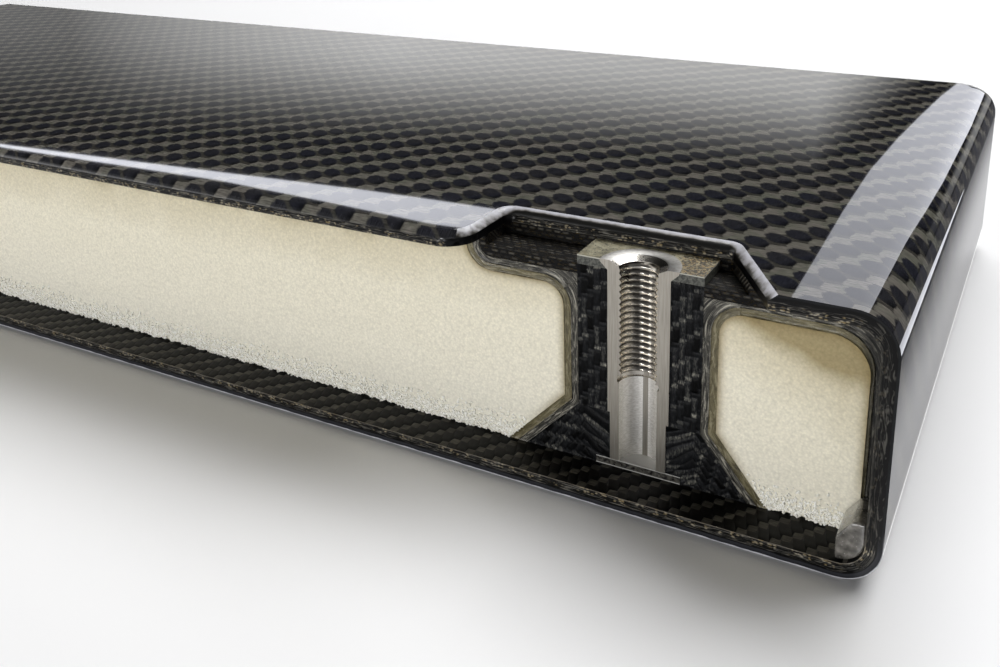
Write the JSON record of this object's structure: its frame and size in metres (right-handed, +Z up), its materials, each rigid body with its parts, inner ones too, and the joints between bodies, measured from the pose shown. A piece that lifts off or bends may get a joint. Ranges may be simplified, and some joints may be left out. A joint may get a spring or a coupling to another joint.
{
  "type": "carbon fiber sandwich panel",
  "caption": "Corner sample of a moulded carbon fibre and foam sandwich panel, cut through a bonded threaded insert that sits in a pocket of the top skin.",
  "frame": {"origin": "middle of the underside", "axes": "+X along the panel to its closed end, +Y back from the sectioned edge to the closed rear edge, +Z up out of the top face"},
  "size_m": [0.36, 0.14, 0.04],
  "materials": {
    "skin_laminate": "woven carbon twill under polished clear resin",
    "doubler_laminate": "woven carbon laminate, moulded",
    "column_laminate": "woven carbon laminate, sawn",
    "foot_laminate": "carbon laminate, sawn",
    "plate_laminate": "laminate ground flat",
    "pad_metal": "turned",
    "insert_steel": "turned and bead blasted",
    "foam": "rigid closed cell foam, sawn",
    "bond_resin": "cured resin",
    "wrap_laminate": "laminate layers seen at their cut edge",
    "bead_resin": "cured resin"
  },
  "bodies": {
    "root": {"outer_skin": "skin_laminate", "top_doubler": "doubler_laminate", "hardpoint_column": "column_laminate", "hardpoint_foot": "foot_laminate", "top_plate": "plate_laminate", "base_pad": "pad_metal", "threaded_insert": "insert_steel", "foam_core_left": "foam", "foam_core_right": "foam", "bond_line_left": "bond_resin", "bond_line_right": "bond_resin", "core_wrap_left": "wrap_laminate", "core_wrap_right": "wrap_laminate", "resin_bead": "bead_resin"}
  },
  "joints": []
}
